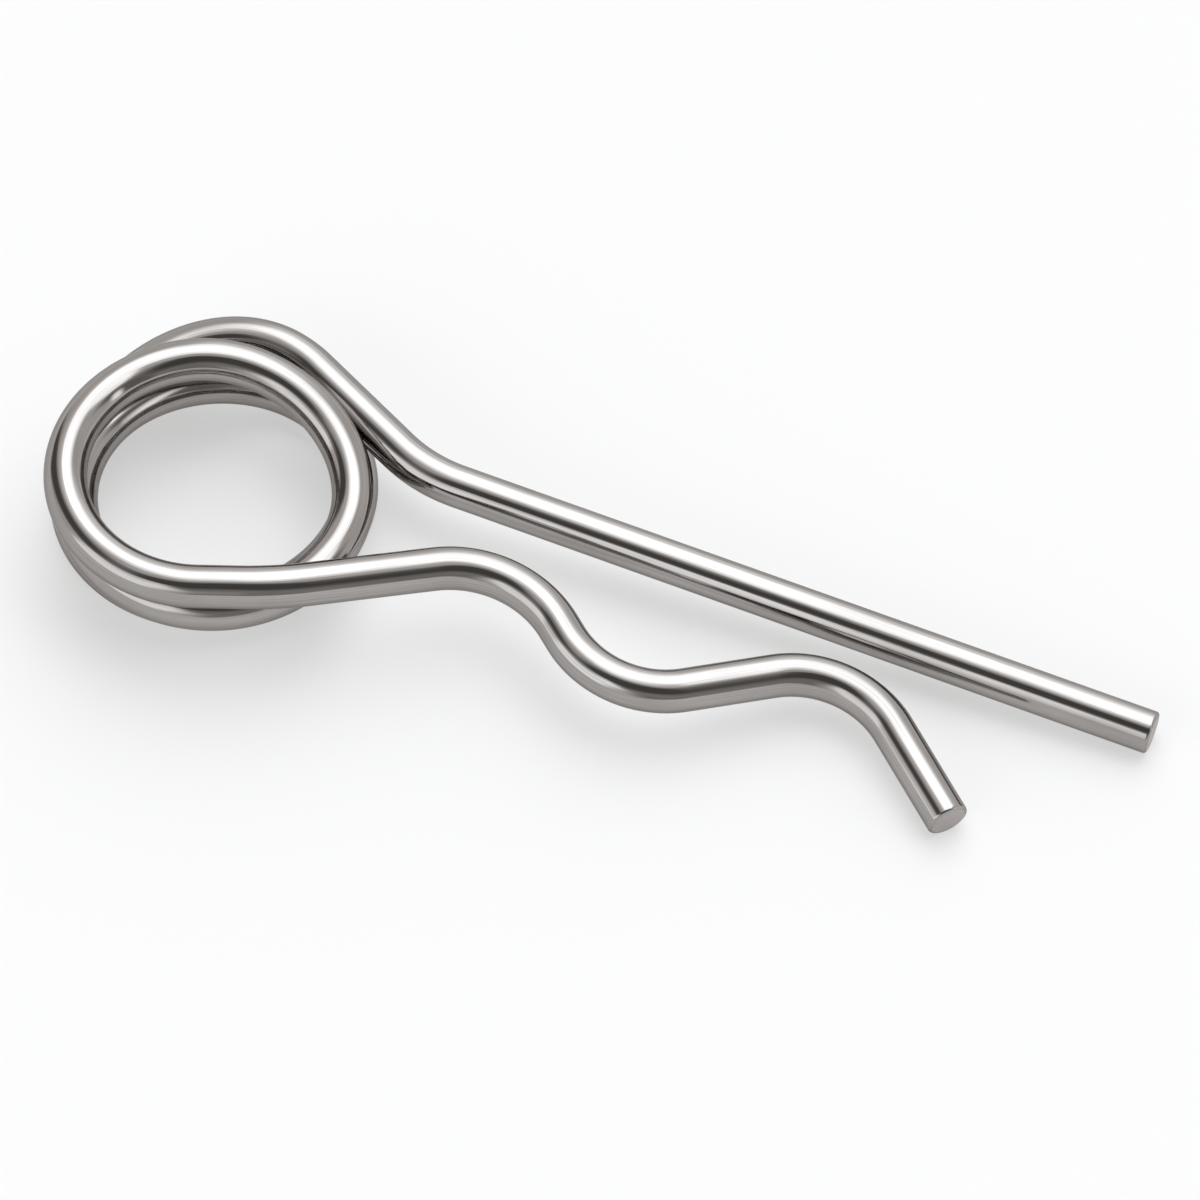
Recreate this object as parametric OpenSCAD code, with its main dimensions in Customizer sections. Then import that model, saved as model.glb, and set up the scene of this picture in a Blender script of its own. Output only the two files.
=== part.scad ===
// Double loop beta pin, also called a double coil R-clip: one length of round
// spring wire, formed cold, lying flat as it comes to rest.
//
// The wire starts at the tip of the straight leg, which goes through the hole in
// a shaft. The leg runs in over the first loop and dives outside the stack to
// become that loop. The wire swings past under its own start, climbs one wire in
// each of two more turns, and leaves the top of the coil as the wavy leg. Both
// legs lean down to the same level, and the valley of the wavy one grips the
// outside of the shaft. The first loop and the two tips rest on the ground.
// The straight leg points along +X, and the origin is under the middle of the pin.

/* [Wire] */
// Diameter of the round wire
wire_d = 4; // [3.2:0.1:4.8]
// Radius on the rim of each cut end
rim_r = 0.3; // [0.1:0.05:0.6]

/* [Coil] */
// Clear width of the eye within one turn
eye_d = 21.5; // [18:0.5:26]
// Air between one turn and the turn above it
turn_gap = 0.1; // [0.05:0.05:0.4]
// Direction round the coil at which the straight leg runs in, from +X
entry_turn = 62; // [56:1:66]
// Direction round the coil at which the wavy leg runs out, from +X
exit_turn = 290; // [284:1:298]

/* [Coil stacking, in turns of rise] */
// Height of the straight leg where it runs in, above the first loop
entry_up = 0.96; // [0.94:0.01:1.1]
// How far the entry is set back from the first loop, away from the tips
entry_back = 0.24; // [0.1:0.01:0.4]
// How far the entry is set out sideways, clear of the turns beside it
entry_out = 0.68; // [0.66:0.01:0.9]
// How far the wire swings forward where it passes under the entry
swing_forward = 0.29; // [0.1:0.01:0.4]
// How far it swings out sideways there
swing_out = 0.11; // [0:0.01:0.15]
// How far the second loop lies forward of the first
second_forward = 0.44; // [0.2:0.01:0.5]
// How far the second loop lies over towards the wavy leg
second_over = 0.61; // [0.6:0.01:0.8]
// How far the top of the coil lies forward of the first loop
top_forward = 0.29; // [0.1:0.01:0.4]
// How far the top of the coil lies over towards the wavy leg
top_over = 0.76; // [0.6:0.01:0.9]

/* [Straight leg] */
// Distance from the first loop's centre across to the straight leg
straight_y = 6.75; // [5:0.05:8]
// Distance from the first loop's centre to the tip of the straight leg
straight_reach = 90.1; // [80:0.1:110]
// Bend radius where the straight leg turns in to the coil
straight_bend_r = 14; // [8:1:20]

/* [Wavy leg] */
// Straight run from the coil before the leg leans down
run_out = 7; // [6:0.5:8]
// Radius of that easy bend
lean_r = 25; // [15:1:30]
// First hump: distance of its bend point from the first loop's centre
hump_x = 30.8; // [29:0.1:33]
// First hump: distance of its bend point from the straight leg's axis
hump_in = 6.9; // [6:0.1:9]
// First hump: bend radius
hump_r = 10.5; // [8:0.1:12]
// Shaft seat: distance of its bend point from the first loop's centre
seat_x = 43.6; // [42:0.1:46]
// Shaft seat: distance of its bend point from the straight leg's axis
seat_in = 17.6; // [16:0.1:19]
// Shaft seat: bend radius
seat_r = 9.6; // [7:0.1:11]
// Second hump: distance of its bend point from the first loop's centre
crest_x = 62.5; // [60:0.1:65]
// Second hump: distance of its bend point from the straight leg's axis
crest_in = 3.9; // [3.5:0.1:8]
// Second hump: bend radius
crest_r = 9.7; // [7:0.1:11]
// Flared tip: distance of its end from the first loop's centre
tip_x = 76.1; // [73:0.1:80]
// Flared tip: distance of its end from the straight leg's axis
tip_in = 15.7; // [12:0.1:19]

/* [Hidden] */
$fn = 64;

wire_r = wire_d / 2;
loop_r = (eye_d + wire_d) / 2;
turn_rise = wire_d + turn_gap;

// A bend draws the wire down a little, so its arc ends inside the stretches it joins
bend_thinning = 0.06;
// Length by which a bend's arc runs on inside the stretch on either side
lap = 0.2;

// Centres that the coil turns about, each on the same rise: the entry, the first
// loop, its swing under the entry, the second loop and the top
entry_centre = [-entry_back, entry_out, entry_up] * turn_rise;
first_centre = [0, 0, 0];
swing_centre = [swing_forward, swing_out, 0] * turn_rise;
second_centre = [second_forward, -second_over, 1] * turn_rise;
top_centre = [top_forward, -top_over, 2] * turn_rise;

// The wire eases from one centre to the next over a stretch of a turn. Each line
// has the middle of the stretch and half its length, in degrees from +X, and
// the turn it falls in.
turn = 360;
dive = [146, 70];
swing = [4 + turn, 69];
climb = [114 + turn, 48];
top_climb = [64 + 2 * turn, 54];

// Coil from the entry to the exit, in arcs of about 24 degrees. The count is odd,
// so that the first and last arcs are both of the drawn-down kind.
coil_start = entry_turn;
coil_end = exit_turn + 2 * turn;
arc_count = 39;
arc_turn = (coil_end - coil_start) / arc_count;
// Steps in which the coil is searched for its outermost points
search_turn = 3;

function unit(v) = v / norm(v);

// 0 before the stretch, 1 after it, and a smooth rise along it
function ease(a, stretch) =
    let (t = min(1, max(0, (a - stretch[0] + stretch[1]) / (2 * stretch[1]))))
    t * t * (3 - 2 * t);

function coil_centre(a) =
    [0, 0, wire_r]
    + entry_centre
    + (first_centre - entry_centre) * ease(a, dive)
    + (swing_centre - first_centre) * ease(a, swing)
    + (second_centre - swing_centre) * ease(a, climb)
    + (top_centre - second_centre) * ease(a, top_climb);

// Point on the wire's centreline, a degrees round the coil from +X
function coil_point(a) = coil_centre(a) + loop_r * [cos(a), sin(a), 0];

// Straight leg: from the coil along its own tangent, one bend, then down to its tip
straight_root = coil_point(coil_start);
straight_run = (straight_root.y - straight_y) / cos(coil_start);
straight_corner = straight_root + straight_run * [sin(coil_start), -cos(coil_start), 0];
straight_tip = [straight_reach, straight_y, wire_r];
straight_path = [straight_root, straight_corner, straight_tip];
straight_radii = [straight_bend_r];

// Wavy leg: off the top of the coil, then down an even slope to its tip
wavy_root = coil_point(coil_end);
lean_corner = wavy_root + run_out * [-sin(coil_end), cos(coil_end), 0];
slope = (lean_corner.z - wire_r) / (tip_x - lean_corner.x);

// Bend point of the wavy leg, x from the coil and inward from the straight leg
function wave_point(x, inward) =
    [x, straight_y - inward, lean_corner.z - slope * (x - lean_corner.x)];

wavy_path = [
    wavy_root,
    lean_corner,
    wave_point(hump_x, hump_in),
    wave_point(seat_x, seat_in),
    wave_point(crest_x, crest_in),
    wave_point(tip_x, tip_in)
];
wavy_radii = [lean_r, hump_r, seat_r, crest_r];

// The origin lies under the middle of the pin's outside box, which takes in the
// edge of the straight leg's cut face, tilted out by the leg's slope
straight_slope = unit(straight_corner - straight_tip).z;
pin_reach = straight_reach + (wire_r - rim_r) * straight_slope;
coil_turns = [coil_start : search_turn : coil_end];
coil_x = [for (a = coil_turns) coil_point(a).x];
coil_y = [for (a = coil_turns) coil_point(a).y];
middle = [
    (min(coil_x) - wire_r + pin_reach) / 2,
    (min(coil_y) + max(coil_y)) / 2,
    0
];

// Places the children with their Z along z and their X along x, at p
module placed(p, x, z) {
    y = cross(z, x);
    multmatrix([
        [x.x, y.x, z.x, p.x],
        [x.y, y.y, z.y, p.y],
        [x.z, y.z, z.z, p.z],
        [0, 0, 0, 1]
    ]) children();
}

// Any direction square to z, for a round piece that has no front
function square_to(z) = unit(cross(abs(z.z) < 0.9 ? [0, 0, 1] : [1, 0, 0], z));

// Arc of wire through three points on its centreline
module wire_arc(p, q, r, d, run_on = 0) {
    a = q - p;
    b = r - p;
    n = cross(a, b);
    centre = p + (cross(n, a) * (b * b) + cross(b, n) * (a * a)) / (2 * n * n);
    radius = norm(p - centre);
    sweep = 2 * asin(norm(b) / (2 * radius));
    extra = run_on / radius * 180 / PI;
    placed(centre, unit(p - centre), unit(n))
        rotate([0, 0, -extra])
            rotate_extrude(angle = sweep + 2 * extra)
                translate([radius, 0])
                    circle(d = d);
}

// Straight stretch of wire between two points
module wire_straight(p, q) {
    z = unit(q - p);
    placed(p, square_to(z), z)
        cylinder(d = wire_d, h = norm(q - p));
}

// Straight stretch that ends in a cut face with a rounded rim, at q
module wire_end(p, q) {
    z = unit(q - p);
    length = norm(q - p);
    placed(p, square_to(z), z)
        rotate_extrude() {
            square([wire_r, length - rim_r]);
            square([wire_r - rim_r, length]);
            translate([wire_r - rim_r, length - rim_r])
                circle(r = rim_r);
        }
}

// Half the turning angle at the corner b of the path a, b, c
function half_bend(a, b, c) = acos(unit(b - a) * unit(c - b)) / 2;

// Length that the bend at corner i can take up: all of an end stretch, and half
// of a stretch that has a bend at its other end too
function bend_room(path, i) =
    min(
        norm(path[i] - path[i - 1]) / (i == 1 ? 1 : 2),
        norm(path[i + 1] - path[i]) / (i == len(path) - 2 ? 1 : 2)
    ) - 2 * lap;

// Radius of the bend at corner i, no larger than the stretches beside it allow
function bend_r(path, radii, i) =
    min(
        radii[i - 1],
        bend_room(path, i) / tan(half_bend(path[i - 1], path[i], path[i + 1]))
    );

// Where the bend at corner i of a path begins, on the side of the point "side"
function bend_edge(path, radii, i, side) =
    path[i] + bend_r(path, radii, i)
    * tan(half_bend(path[i - 1], path[i], path[i + 1]))
    * unit(path[side] - path[i]);

// Start and end of the straight stretch from corner i to corner i + 1
function stretch_start(path, radii, i) =
    i == 0 ? path[0] : bend_edge(path, radii, i, i + 1);
function stretch_end(path, radii, i) =
    i == len(path) - 2 ? path[i + 1] : bend_edge(path, radii, i + 1, i);

// A leg: straight stretches along the path, a bend at each corner, a cut end
module leg(path, radii) {
    last = len(path) - 2;
    for (i = [0 : last - 1])
        wire_straight(stretch_start(path, radii, i), stretch_end(path, radii, i));
    wire_end(stretch_start(path, radii, last), path[last + 1]);
    for (i = [1 : last]) {
        p = bend_edge(path, radii, i, i - 1);
        r = bend_edge(path, radii, i, i + 1);
        half = half_bend(path[i - 1], path[i], path[i + 1]);
        inward = unit((p + r) / 2 - path[i]);
        q = path[i] + inward * bend_r(path, radii, i) * (1 / cos(half) - 1);
        wire_arc(p, q, r, wire_d - bend_thinning, lap);
    }
}

// The coil: every second arc is drawn down and runs on inside its neighbours
module coil() {
    for (i = [0 : arc_count - 1]) {
        a = coil_start + i * arc_turn;
        thin = i % 2 == 0;
        wire_arc(
            coil_point(a),
            coil_point(a + arc_turn / 2),
            coil_point(a + arc_turn),
            thin ? wire_d - bend_thinning : wire_d,
            thin ? lap : 0
        );
    }
}

module wire_pin() {
    color("silver")
        translate(-middle) {
            leg(straight_path, straight_radii);
            coil();
            leg(wavy_path, wavy_radii);
        }
}

wire_pin();
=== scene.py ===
from bisect import bisect_right
from math import acos, cos, pi, radians, sin, tan

import bpy
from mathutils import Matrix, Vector


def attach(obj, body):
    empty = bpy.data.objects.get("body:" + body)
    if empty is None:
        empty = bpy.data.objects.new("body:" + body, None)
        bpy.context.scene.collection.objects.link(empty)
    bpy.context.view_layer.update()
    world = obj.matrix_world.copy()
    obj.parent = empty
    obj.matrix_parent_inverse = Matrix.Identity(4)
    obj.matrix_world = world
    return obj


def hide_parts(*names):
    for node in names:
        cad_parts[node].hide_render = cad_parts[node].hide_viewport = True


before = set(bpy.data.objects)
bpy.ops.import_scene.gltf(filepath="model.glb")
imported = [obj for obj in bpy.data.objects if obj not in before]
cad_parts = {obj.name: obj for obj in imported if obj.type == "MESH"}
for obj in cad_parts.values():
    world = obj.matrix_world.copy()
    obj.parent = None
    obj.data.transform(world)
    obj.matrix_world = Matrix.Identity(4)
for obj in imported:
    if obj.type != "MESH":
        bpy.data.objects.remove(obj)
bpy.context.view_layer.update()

# Camera: a long lens looking down on the pin from the side of the wavy leg, a
# little round towards the tips.
camera_turn = radians(21.406)
camera_up = radians(55.5)
camera_distance = 0.8
camera_back = Vector((
    sin(camera_turn) * cos(camera_up),
    -cos(camera_turn) * cos(camera_up),
    sin(camera_up),
))
camera_target = Vector((0.001127, 0.000379, 0.005))
camera_data = bpy.data.cameras.new("camera")
camera_data.sensor_width = 36
camera_data.lens = 262.8
camera_data.clip_start = 0.05
camera_data.clip_end = 30
camera = bpy.data.objects.new("camera", camera_data)
camera.location = camera_target + camera_distance * camera_back
camera.rotation_euler = camera_back.to_track_quat("Z", "Y").to_euler()
bpy.context.scene.collection.objects.link(camera)
bpy.context.scene.camera = camera

# Route of the wire: the line down its middle, from the tip of the straight leg,
# round the coil and out to the flared tip. It is bent from one straight length,
# so the route is held as points with the distance travelled at each.
mm = 0.001
wire_r = 2.0 * mm
ground = Vector((0, 0, wire_r))
middle = Vector((37.638, -0.198, 0)) * mm

# Coil: the middle of the turn wanders as the wire dives under the stack, swings
# forward under its own start, and climbs one level and then another. Each move
# has the turn at its own middle and the turn that half of it takes, in degrees.
loop_r = 12.75 * mm
turn_rise = 4.1 * mm
entry_centre = ground + turn_rise * Vector((-0.24, 0.68, 0.96))
first_centre = ground.copy()
swing_centre = ground + turn_rise * Vector((0.29, 0.11, 0))
second_centre = ground + turn_rise * Vector((0.44, -0.61, 1))
top_centre = ground + turn_rise * Vector((0.29, -0.76, 2))
moves = (
    (entry_centre, first_centre, 146, 70),
    (first_centre, swing_centre, 364, 69),
    (swing_centre, second_centre, 474, 48),
    (second_centre, top_centre, 784, 54),
)
entry_turn = 62
exit_turn = 290 + 2 * 360
coil_steps = 560


def ease(turn, mid, half):
    """How far a move has gone, from 0 to 1, with a soft start and end."""
    t = min(1, max(0, (turn - mid + half) / (2 * half)))
    return t * t * (3 - 2 * t)


def coil_point(turn):
    """Point on the coil, by how far the wire has turned in degrees."""
    centre = entry_centre.copy()
    for before, after, mid, half in moves:
        centre += (after - before) * ease(turn, mid, half)
    a = radians(turn)
    return centre + loop_r * Vector((cos(a), sin(a), 0))


coil = [
    coil_point(entry_turn + (exit_turn - entry_turn) * k / coil_steps)
    for k in range(coil_steps + 1)
]


def bent(corners, radii):
    """Points along straight stretches with a round bend at each inner corner."""
    step = 0.4 * mm
    points = [corners[0]]
    for before, corner, after, r in zip(corners, corners[1:], corners[2:], radii):
        back = (before - corner).normalized()
        on = (after - corner).normalized()
        half = acos(max(-1, min(1, -back.dot(on)))) / 2
        inward = (back + on).normalized()
        centre = corner + inward * (r / cos(half))
        start = corner + back * (r * tan(half)) - centre
        across = (on - on.project(start)).normalized() * r
        count = max(2, round(2 * half * r / step))
        for k in range(count + 1):
            a = 2 * half * k / count
            points.append(centre + start * cos(a) + across * sin(a))
    points.append(corners[-1])
    return points


# Straight leg: leaves the coil, turns once and runs on to its tip on the floor
straight_y = 6.75 * mm
straight_bend_r = 14 * mm
entry_way = Vector((sin(radians(entry_turn)), -cos(radians(entry_turn)), 0))
straight_corner = coil[0] + entry_way * ((coil[0].y - straight_y) / -entry_way.y)
straight_tip = Vector((90.1 * mm, straight_y, wire_r))
straight_leg = bent([coil[0], straight_corner, straight_tip], [straight_bend_r])

# Wavy leg: two humps with the seat for the shaft between them, sloping down from
# the top of the coil until its flared tip rests on the floor
exit_run = 7 * mm
exit_way = Vector((-sin(radians(exit_turn)), cos(radians(exit_turn)), 0))
lean_corner = coil[-1] + exit_way * exit_run
tip_x = 76.1 * mm
slope = (lean_corner.z - wire_r) / (tip_x - lean_corner.x)


def wave_point(x, inward):
    """A corner of the wavy leg, so far in from the line of the straight leg."""
    return Vector((x, straight_y - inward, lean_corner.z - slope * (x - lean_corner.x)))


first_hump, first_hump_r = wave_point(30.8 * mm, 6.9 * mm), 10.5 * mm
seat, seat_r = wave_point(43.6 * mm, 17.6 * mm), 9.6 * mm
second_hump, second_hump_r = wave_point(62.5 * mm, 3.9 * mm), 9.7 * mm
flared_tip = wave_point(tip_x, 15.7 * mm)
lean_r = 25 * mm
wavy_leg = bent(
    [coil[-1], lean_corner, first_hump, seat, second_hump, flared_tip],
    [lean_r, first_hump_r, seat_r, second_hump_r],
)

# Long straight stretches get points of their own, so that no face is drawn out
longest = 1.5 * mm
corners = [p - middle for p in straight_leg[:0:-1] + coil + wavy_leg[1:]]
route = [corners[0]]
for p in corners[1:]:
    start = route[-1]
    gap = p - start
    parts = max(1, round(gap.length / longest))
    route += [start + gap * (k / parts) for k in range(1, parts + 1)]

travelled = [0.0]
for a, b in zip(route, route[1:]):
    travelled.append(travelled[-1] + (b - a).length)
full_length = travelled[-1]


def place(s):
    """Point on the route and its direction there, at distance s from the tip."""
    hi = min(max(bisect_right(travelled, s), 1), len(route) - 1)
    lo = hi - 1
    share = (s - travelled[lo]) / (travelled[hi] - travelled[lo])
    before = route[max(lo - 1, 0)]
    after = route[min(hi + 1, len(route) - 1)]
    way_lo = (route[hi] - before).normalized()
    way_hi = (after - route[lo]).normalized()
    return route[lo].lerp(route[hi], share), way_lo.lerp(way_hi, share).normalized()


# Wire: drawn stainless spring wire, round, cut off square at both ends with a
# burr-free rim. The skin is one tube swept along the route without any twist, and
# it remembers where each point lay on the wire before it was bent.
sides = 72
rim_r = 0.3 * mm

# Stations: the distance from the tip and the radius of the wire there, with close
# ones round each rim and two more just behind it to hold its edge
near_end = [
    (rim_r * (1 - cos(radians(a))), wire_r - rim_r * (1 - sin(radians(a))))
    for a in range(0, 91, 10)
]
near_end += [(rim_r + 0.04 * mm, wire_r), (rim_r + 0.3 * mm, wire_r)]
far_end = [(full_length - s, r) for s, r in near_end[::-1]]
clear = near_end[-1][0] + 0.2 * mm
between = [(s, wire_r) for s in travelled if clear < s < full_length - clear]
stations = near_end + between + far_end

verts, drawn, faces, cut = [], [], [], []


def ring(centre, way, side_way, s, r):
    """Adds a ring of points square to the way; gives its first point and its up."""
    up = (side_way - side_way.project(way)).normalized()
    out = way.cross(up)
    start = len(verts)
    for k in range(sides):
        a = 2 * pi * k / sides
        verts.append(centre + (up * cos(a) + out * sin(a)) * r)
        drawn.append((r * cos(a), r * sin(a), s))
    return start, up


def join(first, second, on_cut, flip=False):
    """Closes the gap between two rings with quads."""
    for k in range(sides):
        n = (k + 1) % sides
        quad = (first + k, first + n, second + n, second + k)
        faces.append(quad[::-1] if flip else quad)
        cut.append(on_cut)


up = Vector((0, 0, 1))
rings = []
for s, r in stations:
    centre, way = place(s)
    start, up = ring(centre, way, up, s, r)
    rings.append(start)
for a, b in zip(rings, rings[1:]):
    join(a, b, on_cut=0)

# Cut faces: rings in to a point at the middle of each end
for (s, r), outer, flip in (
    (stations[0], rings[0], True),
    (stations[-1], rings[-1], False),
):
    centre, way = place(s)
    last = outer
    for share in (0.96, 0.7, 0.4, 0.15):
        inner, _ = ring(centre, way, (verts[outer] - centre).normalized(), s, r * share)
        join(last, inner, on_cut=1, flip=flip)
        last = inner
    hub = len(verts)
    verts.append(centre)
    drawn.append((0, 0, s))
    for k in range(sides):
        tri = (last + k, last + (k + 1) % sides, hub)
        faces.append(tri[::-1] if flip else tri)
        cut.append(1)

wire_mesh = bpy.data.meshes.new("wire")
wire_mesh.from_pydata(verts, [], faces)
wire_mesh.polygons.foreach_set("use_smooth", [True] * len(faces))
wire_mesh.polygons.foreach_set("material_index", cut)
before_bending = wire_mesh.attributes.new("before_bending", "FLOAT_VECTOR", "POINT")
before_bending.data.foreach_set("vector", [v for p in drawn for v in p])
wire_mesh.update()
wire = bpy.data.objects.new("wire", wire_mesh)
bpy.context.scene.collection.objects.link(wire)


class Socket:
    """An output of a node that can be written about as a number."""

    tree = None

    def __init__(self, out):
        self.out = out

    @classmethod
    def node(cls, kind, settings=(), output=0, **sockets):
        """A node of that type: its settings first, then its sockets.

        A socket goes by its name with _ for each space, or by its place as in_N
        where several share a name. The output goes by its name or its place.
        """
        made = cls.tree.nodes.new(kind)
        for name, value in dict(settings).items():
            setattr(made, name, value)
        for name, value in sockets.items():
            if name.startswith("in_"):
                socket = made.inputs[int(name[3:])]
            else:
                socket = made.inputs[name.replace("_", " ")]
            if isinstance(value, Socket):
                cls.tree.links.new(value.out, socket)
            else:
                socket.default_value = value
        return cls(made.outputs[output]) if len(made.outputs) else made

    def math(self, operation, other=None, swap=False):
        pair = [other, self] if swap else [self, other]
        values = {f"in_{i}": v for i, v in enumerate(pair) if v is not None}
        return self.node("ShaderNodeMath", {"operation": operation}, **values)

    def __add__(self, other):
        return self.math("ADD", other)

    def __radd__(self, other):
        return self.math("ADD", other, True)

    def __sub__(self, other):
        return self.math("SUBTRACT", other)

    def __rsub__(self, other):
        return self.math("SUBTRACT", other, True)

    def __mul__(self, other):
        return self.math("MULTIPLY", other)

    def __rmul__(self, other):
        return self.math("MULTIPLY", other, True)

    def __truediv__(self, other):
        return self.math("DIVIDE", other)

    def __rtruediv__(self, other):
        return self.math("DIVIDE", other, True)


def material(name):
    """A new material with its tree cleared, ready for Socket.node."""
    made = bpy.data.materials.new(name)
    made.use_nodes = True
    made.node_tree.nodes.clear()
    Socket.tree = made.node_tree
    return made


def mix(amount, first, second):
    """Mixes two colours. The sockets for colours come last on the node."""
    return Socket.node(
        "ShaderNodeMix", {"data_type": "RGBA"}, output=2,
        Factor=amount, in_6=first, in_7=second,
    )


def stretched(across, along):
    """The place on the straight wire, scaled across and along it."""
    place_on_wire = Socket.node(
        "ShaderNodeAttribute", {"attribute_name": "before_bending"}, output="Vector"
    )
    return Socket.node(
        "ShaderNodeVectorMath", {"operation": "MULTIPLY"},
        in_0=place_on_wire, in_1=(across, across, along),
    )


def noise(across, along, detail, rough):
    """Noise with that many waves to the metre across and along the wire."""
    return Socket.node(
        "ShaderNodeTexNoise",
        Vector=stretched(across, along), Scale=1.0, Detail=detail, Roughness=rough,
    )


def mask(value, low, high, rise="LINEAR"):
    """Rises from 0 to 1 as the value goes from low to high."""
    return Socket.node(
        "ShaderNodeMapRange", {"interpolation_type": rise},
        Value=value, From_Min=low, From_Max=high,
    )


# Drawn skin: the die leaves fine lines that run the whole length of the wire, so
# the shine is clean along it and softened across it. A thin grey film from the
# heat of winding lies in long patches.
drawn_steel = material("drawn_steel")
clean_colour = (0.386, 0.368, 0.356, 1)
filmed_colour = (0.33, 0.312, 0.299, 1)
line_colour = (0.225, 0.21, 0.198, 1)
fine_lines = noise(9000, 60, detail=3.0, rough=0.6)
broad_lines = noise(2600, 25, detail=2.0, rough=0.5)
film_mask = mask(noise(350, 90, detail=4.0, rough=0.6), 0.42, 0.7)
line_mask = mask(fine_lines, 0.38, 0.68)
skin_colour = mix(film_mask, clean_colour, filmed_colour)
skin_colour = mix(line_mask * 0.45, skin_colour, line_colour)
lines = broad_lines * 0.6 + fine_lines * 0.4
skin = Socket.node(
    "ShaderNodeBsdfPrincipled",
    Base_Color=skin_colour,
    Metallic=1.0,
    Roughness=0.035 + line_mask * 0.07 + film_mask * 0.04,
    Specular_Tint=(0.56, 0.55, 0.54, 1),
    Normal=Socket.node("ShaderNodeBump", Strength=0.35, Distance=0.03 * mm, Height=lines),
)
Socket.node("ShaderNodeOutputMaterial", Surface=skin)

# Cut face: sheared through in one blow, so it is flat and dull, with a faint
# grain from the break and the marks of the blade across it.
cut_steel = material("cut_steel")
dark_cut = (0.33, 0.304, 0.298, 1)
pale_cut = (0.52, 0.486, 0.476, 1)
shear_marks = Socket.node(
    "ShaderNodeTexWave", {"bands_direction": "X"}, output="Fac",
    Vector=stretched(900, 900), Scale=1.0, Distortion=9.0, Detail=3.0, Detail_Scale=2.0,
)
grain = noise(2200, 2200, detail=5.0, rough=0.7) * 0.7 + shear_marks * 0.3
cut_face = Socket.node(
    "ShaderNodeBsdfPrincipled",
    Base_Color=mix(grain, dark_cut, pale_cut),
    Metallic=0.85,
    Roughness=0.42 + grain * 0.15,
    Normal=Socket.node("ShaderNodeBump", Strength=0.25, Distance=0.04 * mm, Height=grain),
)
Socket.node("ShaderNodeOutputMaterial", Surface=cut_face)

wire_mesh.materials.append(drawn_steel)
wire_mesh.materials.append(cut_steel)
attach(wire, "root")
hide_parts("wire_pin")

# Floor: a wide sheet of matt white board that the pin lies on. Part of its white
# is its own, so that the shadows on it stay light, and it shows that same white
# to the camera, in the wire and through anything clear.
reach = 4.0
floor_mesh = bpy.data.meshes.new("floor")
floor_mesh.from_pydata(
    [(-reach, -reach, 0), (reach, -reach, 0), (reach, reach, 0), (-reach, reach, 0)],
    [],
    [(0, 1, 2, 3)],
)
floor = bpy.data.objects.new("floor", floor_mesh)
bpy.context.scene.collection.objects.link(floor)
board = material("board")
own_share = 0.5
matt_white = Socket.node(
    "ShaderNodeBsdfPrincipled",
    Base_Color=(0.885, 0.88, 0.875, 1),
    Roughness=1.0,
    Specular_IOR_Level=0.0,
)
own_white = Socket.node("ShaderNodeEmission", Color=(0.972, 0.972, 0.972, 1))


def ray(kind):
    """1 for a ray of that kind and 0 for any other."""
    return Socket.node("ShaderNodeLightPath", output=f"Is {kind} Ray")


seen = ray("Camera") + ray("Glossy") + ray("Transmission")
Socket.node(
    "ShaderNodeOutputMaterial",
    Surface=Socket.node(
        "ShaderNodeMixShader", Fac=seen * own_share, in_1=matt_white, in_2=own_white
    ),
)
floor_mesh.materials.append(board)

# Studio: a white horizon, pale walls, a soft box overhead and towards the back, and
# dark gaps between it and the light walls. Each panel is an oval on the plan of
# the surroundings, which counts degrees away from straight up: to the right of
# the camera, and away from it.
world = bpy.data.worlds.new("studio")
bpy.context.scene.world = world
world.use_nodes = True
world.node_tree.nodes.clear()
Socket.tree = world.node_tree
direction = Socket.node("ShaderNodeTexCoord", output="Generated")


def component(way):
    """How far the direction points that way."""
    return Socket.node(
        "ShaderNodeVectorMath", {"operation": "DOT_PRODUCT"}, output="Value",
        in_0=direction, in_1=way,
    )


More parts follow.
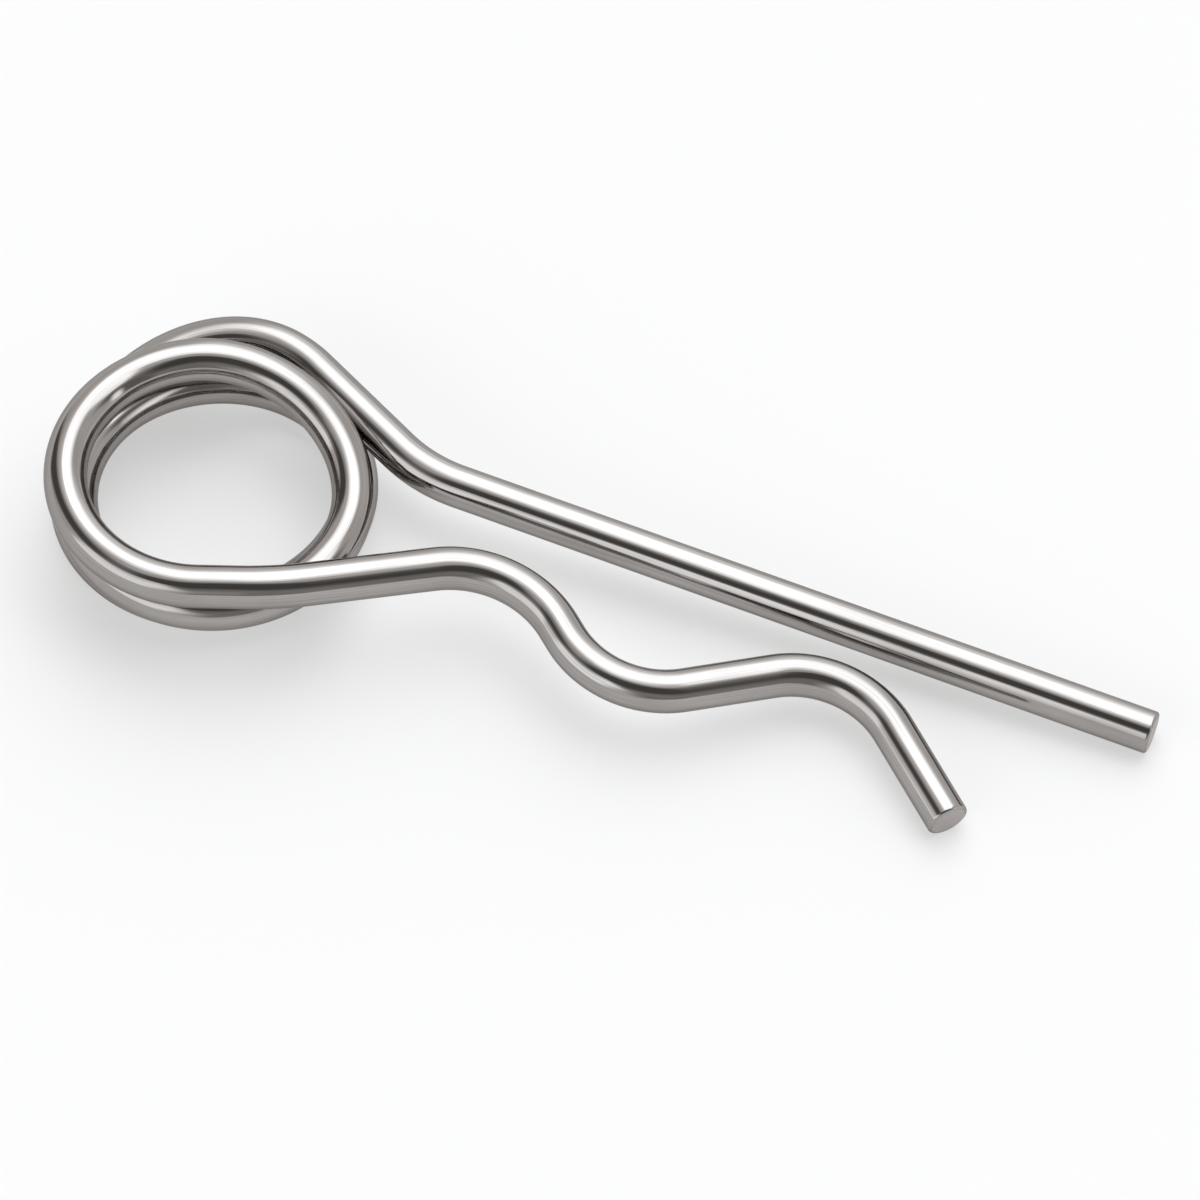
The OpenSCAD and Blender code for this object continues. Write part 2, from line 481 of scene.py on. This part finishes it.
rightwards = component((cos(camera_turn), sin(camera_turn), 0))
backwards = component((-sin(camera_turn), cos(camera_turn), 0))
from_top = component((0, 0, 1)).math("ARCCOSINE") * (180 / pi)
sideways = (rightwards * rightwards + backwards * backwards).math("SQRT")
plan = Socket.node(
    "ShaderNodeCombineXYZ",
    X=rightwards / sideways * from_top,
    Y=backwards / sideways * from_top,
)

# right, away, half width, half depth, turn, softness of the edge, brightness
panels = (
    (18.3, 62.9, 19.2, 21.4, 47, 0.59, 1.60),
    (18.1, -67.5, 50.7, 18.8, 39, 0.57, 0.39),
    (-67.6, -36.1, 58.6, 29.2, -9, 0.24, 2.00),
    (28.3, -42.6, 48.1, 26.4, 6, 0.16, 0.41),
    (-51.5, 33.3, 15.7, 61.3, 14, 0.45, 0.13),
    (-0.9, -31.5, 40.5, 17.0, -17, 0.36, 0.13),
    (54.4, -32.0, 13.0, 35.6, 3, 0.36, 0.26),
    (67.4, -23.2, 14.8, 6.3, -28, 0.55, 2.30),
    (6.0, 28.5, 22.5, 28.5, -12, 0.42, 3.45),
    (28.3, 3.9, 10.1, 14.2, 30, 0.35, 3.00),
)
wall_colour = (0.965, 0.94, 0.915, 1)
horizon_white = (1.055, 1.055, 1.055, 1)
surroundings = wall_colour
for right, away, wide, deep, turn, soft, bright in panels:
    on_panel = Socket.node(
        "ShaderNodeMapping", {"vector_type": "TEXTURE"},
        Vector=plan, Location=(right, away, 0), Rotation=(0, 0, radians(turn)),
        Scale=(wide, deep, 1),
    )
    off_middle = Socket.node(
        "ShaderNodeVectorMath", {"operation": "LENGTH"}, output="Value", in_0=on_panel
    )
    # the lamps are a little cooler than the walls and the gaps
    cool = 1 + 0.01 * bright if bright > 1 else 0.97
    panel_colour = (bright / cool, bright, bright * cool, 1)
    cover = mask(off_middle, 1 + soft, 1 - soft, rise="SMOOTHSTEP")
    surroundings = mix(cover, surroundings, panel_colour)
on_horizon = mask(from_top, 78.0, 84.0, rise="SMOOTHSTEP")
surroundings = mix(on_horizon, surroundings, horizon_white)
Socket.node(
    "ShaderNodeOutputWorld",
    Surface=Socket.node("ShaderNodeBackground", Color=surroundings, Strength=0.93),
)

bpy.context.scene.view_settings.view_transform = "Standard"
